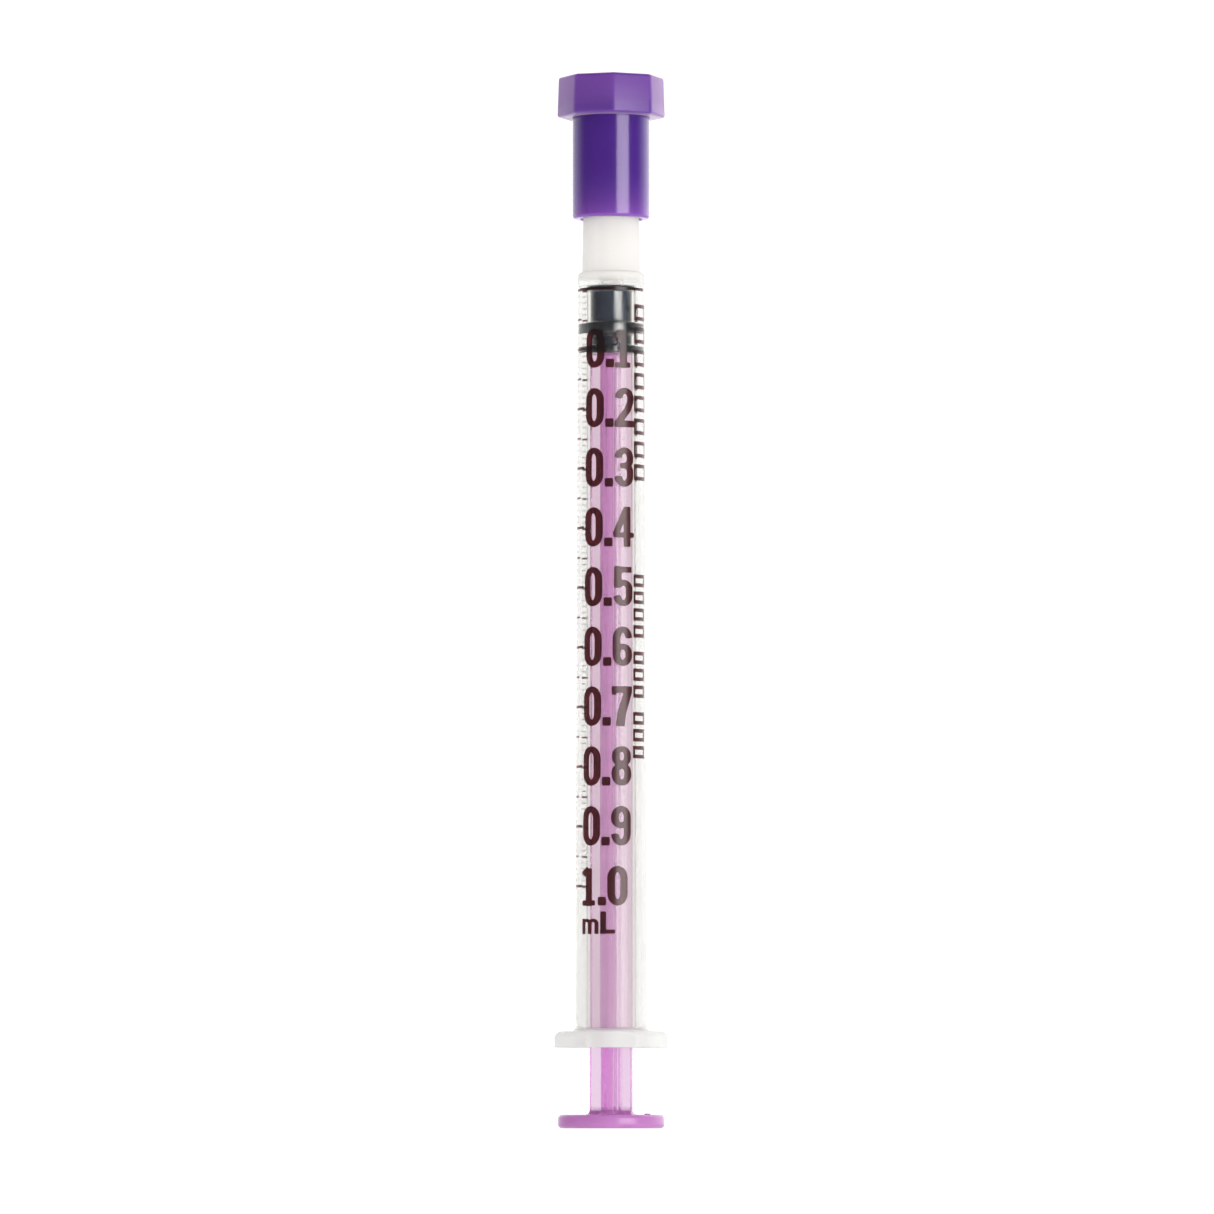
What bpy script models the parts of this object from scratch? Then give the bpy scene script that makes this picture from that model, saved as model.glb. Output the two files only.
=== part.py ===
"""1 mL oral syringe, standing on its thumb disc with its cap on.

A clear barrel with an oral tip, a pink plunger rod, a rubber stopper and a purple tip cap.
Metres, +Z up. The origin is the centre of the thumb disc's underside, and every piece is centred
on the Z axis, which is also the axis of every joint.
"""

import math

import bmesh
import bpy

MM = 0.001

# Heights of the pieces' own datum faces above the thumb disc's underside.
FLANGE_BOTTOM = 7.72 * MM
BORE_END = 80.90 * MM
SHOULDER = 82.20 * MM
TIP_END = 94.80 * MM
CAP_MOUTH = 87.40 * MM

# Barrel. A bore this wide holds the syringe's 1 mL in 57.6 mm of its length.
BORE_RADIUS = 2.35 * MM
BARREL_REAR_RADIUS = 3.43 * MM
BARREL_FRONT_RADIUS = 3.20 * MM
SHOULDER_ROUND = 0.35 * MM
FLANGE_RADIUS = 5.43 * MM
FLANGE_THICKNESS = 1.55 * MM
FLANGE_TOP_ROUND = 0.70 * MM
FLANGE_BOTTOM_ROUND = 0.12 * MM
FLANGE_FILLET = 0.45 * MM
FLANGE_FLAT = 4.85 * MM  # the anti-roll flats' distance from the axis
MOUTH_CHAMFER = 0.40 * MM
TIP_BASE_RADIUS = 2.79 * MM
TIP_TAPER = 0.020  # radius lost per unit of length
TIP_END_ROUND = 0.25 * MM
LUMEN_RADIUS = 0.80 * MM

# Stopper.
RUNNING_GAP = 0.02 * MM  # between a sealing rib and the bore
SEAT_GAP = 0.05 * MM  # between faces that rest on each other
STOPPER_REAR = 74.30 * MM
STOPPER_FRONT = BORE_END - SEAT_GAP
RIB_RADIUS = BORE_RADIUS - RUNNING_GAP
RIB_ROUND = 0.12 * MM
FRONT_ROUND = 0.25 * MM
WAIST_RADIUS = 2.00 * MM
WAIST_ROUND = 0.20 * MM
FRONT_RIB_LENGTH = 0.45 * MM
MIDDLE_RIB_TOP = 77.30 * MM
MIDDLE_RIB_BOTTOM = 76.15 * MM
REAR_RIB_TOP = 75.07 * MM
NECK_RADIUS = 0.70 * MM
NECK_GAP = 0.10 * MM
KNOB_RADIUS = 1.15 * MM
KNOB_GAP = 0.15 * MM
KNOB_BOTTOM = 75.90 * MM
KNOB_TOP = 78.20 * MM
KNOB_POINT_RADIUS = 0.50 * MM
KNOB_SHOULDER_LENGTH = 0.60 * MM

# Plunger rod.
DISC_RADIUS = 5.10 * MM
DISC_THICKNESS = 1.30 * MM
DISC_ROUND = 0.40 * MM
SHAFT_RADIUS = 2.06 * MM
SHAFT_RIB_THICKNESS = 1.20 * MM
SHAFT_TURN = math.radians(-12.0)
SHAFT_END = STOPPER_REAR - SEAT_GAP

# Tip cap.
CAP_SKIRT_RADIUS = 3.72 * MM
CAP_SKIRT_HEIGHT = 9.82 * MM
CAP_HEAD_HEIGHT = 3.88 * MM
CAP_HEAD_BOTTOM_RADIUS = 5.25 * MM
CAP_HEAD_TOP_RADIUS = 5.11 * MM
CAP_HEAD_SIDES = 8
CAP_HEAD_TURN = math.radians(2.7)
CAP_HEAD_ROUND = 0.30 * MM
CAP_RIM_ROUND = 0.30 * MM
CAP_GAP = 0.04 * MM  # between the cap's bore and the oral tip
CAP_LEAD_IN = 0.35 * MM
CAP_ROOF = 96.40 * MM
CAP_RECESS_DEPTH = 2.70 * MM
CAP_RECESS_RADIUS = 3.45 * MM  # at its floor
CAP_RECESS_DRAFT = 0.05  # radius gained per unit of height
PIN_RADIUS = 0.55 * MM
PIN_BOTTOM = 94.20 * MM

# Mesh fineness.
SEGMENTS = 40  # round a turned piece
SHAFT_SEGMENTS = 48  # round the shaft's ribs; a multiple of 4, so that each rib's end is alike
ARC_STEPS = 3  # faces in a rounded right angle
MERGE_DISTANCE = 1e-6
OVERLAP = 0.50 * MM  # how far a joined shape reaches into its neighbour, or a cutter past a face


def rounded_outline(corners, closed):
    """The points of an outline whose corners, each (radius, height, rounding), become arcs."""
    count = len(corners)
    points = []
    for index, (x, z, rounding) in enumerate(corners):
        is_end = not closed and index in (0, count - 1)
        if rounding == 0.0 or is_end:
            points.append((x, z))
            continue
        points += rounded_corner(corners[index - 1], (x, z), corners[(index + 1) % count], rounding)
    return points


def rounded_corner(before, corner, after, rounding):
    """Points on the arc of the given radius that rounds the corner between two straight sides."""
    x, z = corner
    to_before = math.atan2(before[1] - z, before[0] - x)
    to_after = math.atan2(after[1] - z, after[0] - x)
    opening = (to_after - to_before + math.pi) % (2.0 * math.pi) - math.pi
    half = abs(opening) / 2.0
    middle = to_before + opening / 2.0
    reach = rounding / math.sin(half)
    centre_x = x + reach * math.cos(middle)
    centre_z = z + reach * math.sin(middle)
    sweep = math.pi - abs(opening)
    turn = -math.copysign(sweep, opening)
    start = to_before - math.copysign(math.pi / 2.0, opening)
    steps = max(1, round(ARC_STEPS * sweep / (math.pi / 2.0)))
    return [
        (
            centre_x + rounding * math.cos(start + turn * step / steps),
            centre_z + rounding * math.sin(start + turn * step / steps),
        )
        for step in range(steps + 1)
    ]


def make_collection(name):
    collection = bpy.data.collections.new(name)
    bpy.context.scene.collection.children.link(collection)
    return collection


def make_material(name, colour, roughness, transmission=0.0):
    material = bpy.data.materials.new(name)
    material.use_nodes = True
    shader = material.node_tree.nodes["Principled BSDF"]
    shader.inputs["Base Color"].default_value = (*colour, 1.0)
    shader.inputs["Roughness"].default_value = roughness
    shader.inputs["Metallic"].default_value = 0.0
    shader.inputs["Transmission Weight"].default_value = transmission
    return material


def turned(name, corners, collection, height=0.0, closed=False):
    """A turned piece: an outline in radius and height, swept once round the Z axis.

    The outline runs down its outer side. An open outline starts and ends on the axis.
    """
    points = rounded_outline(corners, closed)
    mesh = bpy.data.meshes.new(name)
    edges = [(index, index + 1) for index in range(len(points) - 1)]
    if closed:
        edges.append((len(points) - 1, 0))
    mesh.from_pydata([(x, 0.0, z) for x, z in points], edges, [])
    piece = bpy.data.objects.new(name, mesh)
    piece.location.z = height
    collection.objects.link(piece)
    screw = piece.modifiers.new("turn", "SCREW")
    screw.steps = SEGMENTS
    screw.render_steps = SEGMENTS
    screw.use_merge_vertices = True
    screw.merge_threshold = MERGE_DISTANCE
    screw.use_smooth_shade = True
    return piece


def box(name, size, centre, collection):
    """A box from a cube primitive, with its size in the mesh."""
    shape = bmesh.new()
    bmesh.ops.create_cube(shape, size=1.0)
    bmesh.ops.scale(shape, vec=size, verts=shape.verts)
    mesh = bpy.data.meshes.new(name)
    shape.to_mesh(mesh)
    shape.free()
    piece = bpy.data.objects.new(name, mesh)
    piece.location = centre
    collection.objects.link(piece)
    return piece


def prism(name, sides, radii, height, collection, datum=0.0, lift=0.0):
    """An upright prism or cylinder whose radius runs from radii[0] at its bottom to radii[1].

    Its bottom face is the lift above its own origin, which lies at the datum height.
    """
    shape = bmesh.new()
    bmesh.ops.create_cone(
        shape, cap_ends=True, segments=sides, radius1=radii[0], radius2=radii[1], depth=height
    )
    bmesh.ops.translate(shape, vec=(0.0, 0.0, lift + height / 2.0), verts=shape.verts)
    mesh = bpy.data.meshes.new(name)
    shape.to_mesh(mesh)
    shape.free()
    piece = bpy.data.objects.new(name, mesh)
    piece.location.z = datum
    collection.objects.link(piece)
    return piece


def combine(piece, operation, tool):
    """Joins the tool to the piece, cuts it away or keeps what both share."""
    tool.hide_render = True
    tool.display_type = "WIRE"
    boolean = piece.modifiers.new(f"{operation.lower()} {tool.name}", "BOOLEAN")
    boolean.operation = operation
    boolean.solver = "EXACT"
    boolean.object = tool


def finish(piece, material, parent):
    """Gives a piece its material, even shading on its flat faces, and its parent."""
    piece.data.materials.append(material)
    smooth = piece.modifiers.new("weighted normals", "WEIGHTED_NORMAL")
    smooth.keep_sharp = True
    piece.parent = parent


def tip_radius(height):
    """The oral tip's radius at a height above the thumb disc's underside."""
    return TIP_BASE_RADIUS - TIP_TAPER * (height - SHOULDER)


def make_barrel(collection, tools):
    """The barrel, measured from the finger flange's underside."""
    bore_end = BORE_END - FLANGE_BOTTOM
    shoulder = SHOULDER - FLANGE_BOTTOM
    tip_end = TIP_END - FLANGE_BOTTOM
    barrel = turned(
        "barrel",
        [
            (tip_radius(TIP_END), tip_end, TIP_END_ROUND),
            (TIP_BASE_RADIUS, shoulder, 0.0),
            (BARREL_FRONT_RADIUS, shoulder, SHOULDER_ROUND),
            (BARREL_REAR_RADIUS, FLANGE_THICKNESS, FLANGE_FILLET),
            (FLANGE_RADIUS, FLANGE_THICKNESS, FLANGE_TOP_ROUND),
            (FLANGE_RADIUS, 0.0, FLANGE_BOTTOM_ROUND),
            (BORE_RADIUS + MOUTH_CHAMFER, 0.0, 0.0),
            (BORE_RADIUS, MOUTH_CHAMFER, 0.0),
            (BORE_RADIUS, bore_end, 0.0),
            (LUMEN_RADIUS, bore_end, 0.0),
            (LUMEN_RADIUS, tip_end, 0.0),
        ],
        collection,
        FLANGE_BOTTOM,
        closed=True,
    )
    cut_depth = FLANGE_RADIUS - FLANGE_FLAT + OVERLAP
    cut_height = FLANGE_THICKNESS + 2.0 * OVERLAP
    for side, sign in (("front", -1.0), ("back", 1.0)):
        flat = box(
            f"{side} flange flat",
            (2.0 * FLANGE_RADIUS, cut_depth, cut_height),
            (0.0, sign * (FLANGE_FLAT + cut_depth / 2.0), FLANGE_BOTTOM + FLANGE_THICKNESS / 2.0),
            tools,
        )
        combine(barrel, "DIFFERENCE", flat)
    return barrel


def make_stopper(collection):
    """The rubber stopper, measured from its rear face, with the hollow for the rod's knob."""
    front = STOPPER_FRONT - STOPPER_REAR
    front_rib_bottom = front - FRONT_RIB_LENGTH
    middle_top = MIDDLE_RIB_TOP - STOPPER_REAR
    middle_bottom = MIDDLE_RIB_BOTTOM - STOPPER_REAR
    rear_top = REAR_RIB_TOP - STOPPER_REAR
    hollow_bottom = KNOB_BOTTOM - KNOB_GAP - STOPPER_REAR
    hollow_top = KNOB_TOP + KNOB_GAP - STOPPER_REAR
    hollow_shoulder = KNOB_BOTTOM + KNOB_SHOULDER_LENGTH - STOPPER_REAR
    return turned(
        "stopper",
        [
            (0.0, front, 0.0),
            (RIB_RADIUS, front, FRONT_ROUND),
            (RIB_RADIUS, front_rib_bottom, RIB_ROUND),
            (WAIST_RADIUS, front_rib_bottom, WAIST_ROUND),
            (WAIST_RADIUS, middle_top, WAIST_ROUND),
            (RIB_RADIUS, middle_top, RIB_ROUND),
            (RIB_RADIUS, middle_bottom, RIB_ROUND),
            (WAIST_RADIUS, middle_bottom, WAIST_ROUND),
            (WAIST_RADIUS, rear_top, WAIST_ROUND),
            (RIB_RADIUS, rear_top, RIB_ROUND),
            (RIB_RADIUS, 0.0, RIB_ROUND),
            (NECK_RADIUS + NECK_GAP, 0.0, 0.0),
            (NECK_RADIUS + NECK_GAP, hollow_bottom, 0.0),
            (KNOB_RADIUS + KNOB_GAP, hollow_bottom, 0.0),
            (KNOB_RADIUS + KNOB_GAP, hollow_shoulder, 0.0),
            (KNOB_POINT_RADIUS + KNOB_GAP, hollow_top, 0.0),
            (0.0, hollow_top, 0.0),
        ],
        collection,
        STOPPER_REAR,
    )


def make_plunger_rod(collection, tools):
    """The thumb disc, the cross-shaped shaft, and the neck and knob that hold the stopper."""
    rod = turned(
        "plunger_rod",
        [
            (0.0, DISC_THICKNESS, 0.0),
            (DISC_RADIUS, DISC_THICKNESS, DISC_ROUND),
            (DISC_RADIUS, 0.0, DISC_ROUND),
            (0.0, 0.0, 0.0),
        ],
        collection,
    )
    shaft_bottom = DISC_THICKNESS / 2.0
    shaft_length = SHAFT_END - shaft_bottom
    width = 2.0 * (SHAFT_RADIUS + OVERLAP)
    middle = (0.0, 0.0, shaft_bottom + shaft_length / 2.0)
    shaft = box("shaft rib", (width, SHAFT_RIB_THICKNESS, shaft_length), middle, tools)
    cross_rib = box("shaft cross rib", (SHAFT_RIB_THICKNESS, width, shaft_length), middle, tools)
    envelope = prism(
        "shaft envelope",
        SHAFT_SEGMENTS,
        (SHAFT_RADIUS, SHAFT_RADIUS),
        shaft_length + 2.0 * OVERLAP,
        tools,
        lift=shaft_bottom - OVERLAP,
    )
    combine(shaft, "UNION", cross_rib)
    combine(shaft, "INTERSECT", envelope)
    shaft.rotation_euler.z = SHAFT_TURN
    cross_rib.rotation_euler.z = SHAFT_TURN
    envelope.rotation_euler.z = SHAFT_TURN
    knob = turned(
        "knob",
        [
            (0.0, KNOB_TOP, 0.0),
            (KNOB_POINT_RADIUS, KNOB_TOP, 0.0),
            (KNOB_RADIUS, KNOB_BOTTOM + KNOB_SHOULDER_LENGTH, 0.0),
            (KNOB_RADIUS, KNOB_BOTTOM, 0.0),
            (NECK_RADIUS, KNOB_BOTTOM, 0.0),
            (NECK_RADIUS, SHAFT_END - OVERLAP, 0.0),
            (0.0, SHAFT_END - OVERLAP, 0.0),
        ],
        tools,
    )
    combine(rod, "UNION", shaft)
    combine(rod, "UNION", knob)
    return rod


def make_tip_cap(collection, tools):
    """The tip cap, measured from its mouth: octagonal head, round skirt, bore, pin and recess."""
    roof = CAP_ROOF - CAP_MOUTH
    pin_bottom = PIN_BOTTOM - CAP_MOUTH
    top = CAP_SKIRT_HEIGHT + CAP_HEAD_HEIGHT
    mouth_radius = tip_radius(CAP_MOUTH) + CAP_GAP
    cap = prism(
        "tip_cap",
        CAP_HEAD_SIDES,
        (CAP_HEAD_BOTTOM_RADIUS, CAP_HEAD_TOP_RADIUS),
        CAP_HEAD_HEIGHT,
        collection,
        datum=CAP_MOUTH,
        lift=CAP_SKIRT_HEIGHT,
    )
    cap.rotation_euler.z = CAP_HEAD_TURN
    bevel = cap.modifiers.new("rounded edges", "BEVEL")
    bevel.width = CAP_HEAD_ROUND
    bevel.segments = ARC_STEPS
    skirt = turned(
        "cap skirt",
        [
            (0.0, CAP_SKIRT_HEIGHT + OVERLAP, 0.0),
            (CAP_SKIRT_RADIUS, CAP_SKIRT_HEIGHT + OVERLAP, 0.0),
            (CAP_SKIRT_RADIUS, 0.0, CAP_RIM_ROUND),
            (0.0, 0.0, 0.0),
        ],
        tools,
        CAP_MOUTH,
    )
    bore = turned(
        "cap bore",
        [
            (0.0, pin_bottom, 0.0),
            (PIN_RADIUS, pin_bottom, 0.0),
            (PIN_RADIUS, roof, 0.0),
            (tip_radius(CAP_ROOF) + CAP_GAP, roof, 0.0),
            (mouth_radius, CAP_LEAD_IN, 0.0),
            (mouth_radius + CAP_LEAD_IN + OVERLAP, -OVERLAP, 0.0),
            (0.0, -OVERLAP, 0.0),
        ],
        tools,
        CAP_MOUTH,
    )
    recess = turned(
        "cap recess",
        [
            (0.0, top + OVERLAP, 0.0),
            (CAP_RECESS_RADIUS + CAP_RECESS_DRAFT * (CAP_RECESS_DEPTH + OVERLAP), top + OVERLAP, 0.0),
            (CAP_RECESS_RADIUS, top - CAP_RECESS_DEPTH, 0.0),
            (0.0, top - CAP_RECESS_DEPTH, 0.0),
        ],
        tools,
        CAP_MOUTH,
    )
    combine(cap, "UNION", skirt)
    combine(cap, "DIFFERENCE", bore)
    combine(cap, "DIFFERENCE", recess)
    return cap


def main():
    for item in list(bpy.data.objects):
        bpy.data.objects.remove(item)

    parts = make_collection("oral_syringe")
    tools = make_collection("shaping tools")
    centre = bpy.data.objects.new("syringe axis", None)
    parts.objects.link(centre)

    clear_plastic = make_material("clear polypropylene", (0.90, 0.90, 0.88), 0.12, 0.85)
    pink_plastic = make_material("pink polypropylene", (0.62, 0.20, 0.58), 0.30)
    purple_plastic = make_material("purple plastic", (0.17, 0.05, 0.36), 0.25)
    dark_rubber = make_material("dark rubber", (0.03, 0.04, 0.05), 0.45)

    finish(make_barrel(parts, tools), clear_plastic, centre)
    finish(make_stopper(parts), dark_rubber, centre)
    finish(make_plunger_rod(parts, tools), pink_plastic, centre)
    finish(make_tip_cap(parts, tools), purple_plastic, centre)


main()
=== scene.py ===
"""The looks of the 1 mL oral syringe: a clear printed barrel, a pink plunger rod, a dark rubber
stopper and a purple tip cap, in a plain white studio. Metres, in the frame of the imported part.
"""

import math

import bmesh
import bpy
import numpy as np
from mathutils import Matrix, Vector


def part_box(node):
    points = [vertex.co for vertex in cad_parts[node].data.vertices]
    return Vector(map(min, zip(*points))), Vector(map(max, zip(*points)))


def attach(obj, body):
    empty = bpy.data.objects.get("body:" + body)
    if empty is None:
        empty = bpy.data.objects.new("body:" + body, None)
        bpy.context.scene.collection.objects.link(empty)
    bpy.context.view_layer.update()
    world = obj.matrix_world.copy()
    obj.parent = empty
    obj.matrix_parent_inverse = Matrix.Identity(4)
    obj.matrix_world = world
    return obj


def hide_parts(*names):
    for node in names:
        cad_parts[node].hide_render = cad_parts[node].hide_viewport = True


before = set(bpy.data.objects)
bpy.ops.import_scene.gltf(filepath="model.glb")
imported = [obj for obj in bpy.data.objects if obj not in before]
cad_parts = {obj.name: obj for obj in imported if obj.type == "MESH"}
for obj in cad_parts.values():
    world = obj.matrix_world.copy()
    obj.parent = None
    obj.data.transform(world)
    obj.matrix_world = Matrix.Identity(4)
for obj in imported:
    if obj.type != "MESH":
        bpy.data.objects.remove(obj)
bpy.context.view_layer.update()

MM = 0.001

# What the frame says: the pieces' boxes give the datum heights and the outer radii.
BARREL_LOW, BARREL_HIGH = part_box("barrel")
ROD_LOW, ROD_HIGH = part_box("plunger_rod")
STOPPER_LOW, STOPPER_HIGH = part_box("stopper")
CAP_LOW, CAP_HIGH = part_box("tip_cap")
FLANGE_BOTTOM = BARREL_LOW.z
FLANGE_RADIUS = BARREL_HIGH.x
FLANGE_FLAT = BARREL_HIGH.y
TIP_END = BARREL_HIGH.z
DISC_RADIUS = ROD_HIGH.x
KNOB_TOP = ROD_HIGH.z
STOPPER_REAR = STOPPER_LOW.z
STOPPER_FRONT = STOPPER_HIGH.z
CAP_MOUTH = CAP_LOW.z
CAP_TOP = CAP_HIGH.z

# Barrel.
BORE_RADIUS = 2.35 * MM
BORE_END = STOPPER_FRONT + 0.05 * MM
BORE_END_ROUND = 0.08 * MM
SHOULDER = BORE_END + 1.30 * MM
BARREL_REAR_RADIUS = 3.43 * MM
BARREL_FRONT_RADIUS = 3.20 * MM
SHOULDER_ROUND = 0.35 * MM
FLANGE_TOP = FLANGE_BOTTOM + 1.55 * MM
FLANGE_TOP_ROUND = 0.70 * MM
FLANGE_BOTTOM_ROUND = 0.12 * MM
FLANGE_FILLET = 0.45 * MM
MOUTH_CHAMFER = 0.40 * MM
MOUTH_OUTER_ROUND = 0.05 * MM
MOUTH_INNER_ROUND = 0.20 * MM
TIP_BASE_RADIUS = 2.79 * MM
TIP_TAPER = 0.020
TIP_END_ROUND = 0.25 * MM
TIP_BASE_FILLET = 0.15 * MM
LUMEN_RADIUS = 0.80 * MM
LUMEN_REAR_ROUND = 0.15 * MM
LUMEN_FRONT_ROUND = 0.10 * MM

# Stopper. Its ribs press into the bore, so they reach just past the bore's wall.
RIB_RADIUS = BORE_RADIUS + 0.006 * MM
RIB_ROUND = 0.12 * MM
FRONT_ROUND = 0.25 * MM
WAIST_RADIUS = 2.00 * MM
WAIST_ROUND = 0.20 * MM
FRONT_RIB_BOTTOM = STOPPER_FRONT - 0.45 * MM
MIDDLE_RIB_TOP = STOPPER_REAR + 3.00 * MM
MIDDLE_RIB_BOTTOM = STOPPER_REAR + 1.85 * MM
REAR_RIB_TOP = STOPPER_REAR + 0.77 * MM
NECK_RADIUS = 0.70 * MM
NECK_GAP = 0.10 * MM
NECK_HOLE_ROUND = 0.05 * MM
KNOB_RADIUS = 1.15 * MM
KNOB_GAP = 0.15 * MM
KNOB_BOTTOM = KNOB_TOP - 2.30 * MM
KNOB_SHOULDER = KNOB_BOTTOM + 0.60 * MM
KNOB_POINT_RADIUS = 0.50 * MM

# Plunger rod.
DISC_THICKNESS = 1.30 * MM
DISC_ROUND = 0.40 * MM
SHAFT_RADIUS = 2.06 * MM
SHAFT_HALF_RIB = 0.60 * MM
SHAFT_INNER_FILLET = 0.28 * MM
SHAFT_LEAST_FILLET = 0.02 * MM  # the same fillet where the flare is widest
SHAFT_TIP_ROUND = 0.10 * MM
SHAFT_TURN = math.radians(-12.0)
SHAFT_END = STOPPER_REAR - 0.05 * MM
SHAFT_FLARE = 0.45 * MM
FLARE_STEPS = 8
GATE_PLACE = (3.45 * MM, -2.75 * MM)  # the moulding gate's stub on the thumb disc
GATE_RADIUS = 0.28 * MM
GATE_ROOT_RADIUS = 1.2 * GATE_RADIUS
GATE_HEIGHT = 0.11 * MM
GATE_ROUND = 0.05 * MM

# Tip cap.
CAP_SKIRT_RADIUS = 3.72 * MM
CAP_HEAD_BOTTOM = CAP_MOUTH + 9.82 * MM
CAP_HEAD_BOTTOM_RADIUS = 5.25 * MM
CAP_HEAD_TOP_RADIUS = 5.11 * MM
CAP_HEAD_SIDES = 8
CAP_HEAD_TURN = math.radians(2.7)
CAP_HEAD_ROUND = 0.30 * MM
CAP_RIM_ROUND = 0.30 * MM
CAP_GAP = 0.04 * MM
CAP_LEAD_IN = 0.35 * MM
CAP_LEAD_IN_ROUND = 0.30 * MM
CAP_ROOF = CAP_MOUTH + 9.00 * MM
CAP_RECESS_DEPTH = 2.70 * MM
CAP_RECESS_RADIUS = 3.45 * MM
CAP_RECESS_DRAFT = 0.05
CAP_RECESS_ROUND = 0.30 * MM
PIN_RADIUS = 0.55 * MM
PIN_BOTTOM = CAP_MOUTH + 6.80 * MM

# Print. Glyphs are drawn in units of their own height.
SCALE_ZERO = STOPPER_FRONT - 0.40 * MM
SCALE_LENGTH = 57.30 * MM
GRADUATIONS = 100
ZERO_LINE_END = math.radians(72.0)  # the zero line runs on round the front to here
INK_SINK = 0.006 * MM  # how deep the ink reaches into the plastic, so that the two touch
INK_PROUD = 0.008 * MM
INK_CELL = 0.085 * MM
NUMERAL_HEIGHT = 3.79 * MM
UNIT_HEIGHT = 2.07 * MM
UNIT_GAP = 0.62 * MM
LETTER_GAP = 0.17 * MM
STEM_CONTRAST = 0.76  # a level stroke's weight over an upright one's
LEVEL_HALF = 0.075  # half a level stroke's weight
STEM_HALF = LEVEL_HALF / STEM_CONTRAST
NO_LENGTH = 1e-9  # a stretch of a stroke shorter than this is skipped
FAR = 1e9  # further from every stroke than any point is
PRINT_START = math.radians(-47.9)  # the left edge of the numbers at PRINT_DATUM
PRINT_DATUM = SCALE_ZERO - 0.2 * SCALE_LENGTH
PRINT_SKEW = math.radians(0.115) / MM  # the print leans round the barrel
MAJOR_TICK = (2.35 * MM, 0.25 * MM)  # length round the barrel and weight
MEDIUM_TICK = (1.70 * MM, 0.18 * MM)
FINE_TICK = (1.10 * MM, 0.06 * MM)
TICK_GAP = 0.22 * MM
SIDE_PRINT_START = math.radians(42.5)
SIDE_PRINT = (  # each run's top, number of boxes, pitch, and a box's length and width
    (79.0 * MM, 8, 2.20 * MM, 1.55 * MM, 2.10 * MM),
    (53.0 * MM, 4, 1.62 * MM, 1.20 * MM, 1.80 * MM),
    (45.6 * MM, 3, 1.62 * MM, 1.20 * MM, 1.80 * MM),
    (39.8 * MM, 3, 1.62 * MM, 1.20 * MM, 1.80 * MM),
)
BOX_STROKE = 0.36 * MM  # the strokes that run round the barrel
BOX_SIDE = 0.26 * MM

# Meshes.
SEGMENTS = 192
ARC_STEPS = 6  # the steps of a quarter circle
SHAFT_ARC_STEPS = 5
SHAFT_FILLET_STEPS = 4
MERGE_DISTANCE = 1e-6
SHARP_ANGLE = math.radians(40.0)
CAP_SHARP_ANGLE = math.radians(30.0)
OVERLAP = 0.50 * MM  # how far solids reach into each other where they are joined or cut

# Camera and light.
CAMERA_DISTANCE = 0.85
CAMERA_HEIGHT = 2.0 * MM
VIEW_CENTRE = (-0.40 * MM, 0.0, 50.0 * MM)
VIEW_HEIGHT = 116.45 * MM
SENSOR = 36.0
CAMERA_CLIP = 0.01
WHITE = (1.0, 1.0, 1.0)
ROOM = 0.06  # what gloss and clear plastic see of the studio in front of the syringe
LEFT_SCREEN = 1.25  # what gloss sees of the screens that stand round the back
RIGHT_SCREEN = 2.2
SCREEN_START = -0.18  # where the screens start and are full, as the Y of a direction
SCREEN_FULL = 0.65
SCREEN_TURN = 0.7  # where left and right are full, as the X of a direction
BACK_LIGHT = 0.97  # what is seen through clear plastic
FILL_LIGHT = 1.08  # what matt surfaces get from all round, and from above
CEILING = 0.80
BACKDROP = 1.1
FLOOR_LEVEL = -70.0 * MM  # clear of the thumb disc when the plunger is pulled right out
FLOOR_RADIUS = 1.2
FLOOR_GLOW = 0.88
SOFTBOX_SIZE = (0.365, 0.27)
SOFTBOX_POWER = 2.30
SOFTBOX_DISTANCE = 0.55
SOFTBOX_AZIMUTH = math.radians(35.2)
SOFTBOX_HEIGHT = 65.0 * MM


# ---------------------------------------------------------------- shapes


def rounded_outline(corners, closed):
    """The points of an outline whose corners, each (radius, height, rounding), become arcs."""
    count = len(corners)
    points = []
    for index, (x, z, rounding) in enumerate(corners):
        is_end = not closed and index in (0, count - 1)
        if rounding == 0.0 or is_end:
            points.append((x, z))
            continue
        points += rounded_corner(corners[index - 1], (x, z), corners[(index + 1) % count], rounding)
    return points


def rounded_corner(before, corner, after, rounding):
    """Points on the arc of the given radius that rounds the corner between two straight sides."""
    x, z = corner
    to_before = math.atan2(before[1] - z, before[0] - x)
    to_after = math.atan2(after[1] - z, after[0] - x)
    opening = (to_after - to_before + math.pi) % (2.0 * math.pi) - math.pi
    half = abs(opening) / 2.0
    middle = to_before + opening / 2.0
    reach = rounding / math.sin(half)
    centre_x = x + reach * math.cos(middle)
    centre_z = z + reach * math.sin(middle)
    sweep = math.pi - abs(opening)
    turn = -math.copysign(sweep, opening)
    start = to_before - math.copysign(math.pi / 2.0, opening)
    steps = max(1, round(ARC_STEPS * sweep / (math.pi / 2.0)))
    return [
        (
            centre_x + rounding * math.cos(start + turn * step / steps),
            centre_z + rounding * math.sin(start + turn * step / steps),
        )
        for step in range(steps + 1)
    ]


def curve(centre_x, centre_y, radius_x, radius_y, start, end, steps=12):
    """Points on a stretch of an ellipse, its angles in degrees."""
    angles = [math.radians(start + (end - start) * step / steps) for step in range(steps + 1)]
    return [
        (centre_x + radius_x * math.cos(angle), centre_y + radius_y * math.sin(angle))
        for angle in angles
    ]


def link(name, mesh):
    """Puts a mesh into the scene as an object of its own."""
    piece = bpy.data.objects.new(name, mesh)
    bpy.context.scene.collection.objects.link(piece)
    return piece


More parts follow.
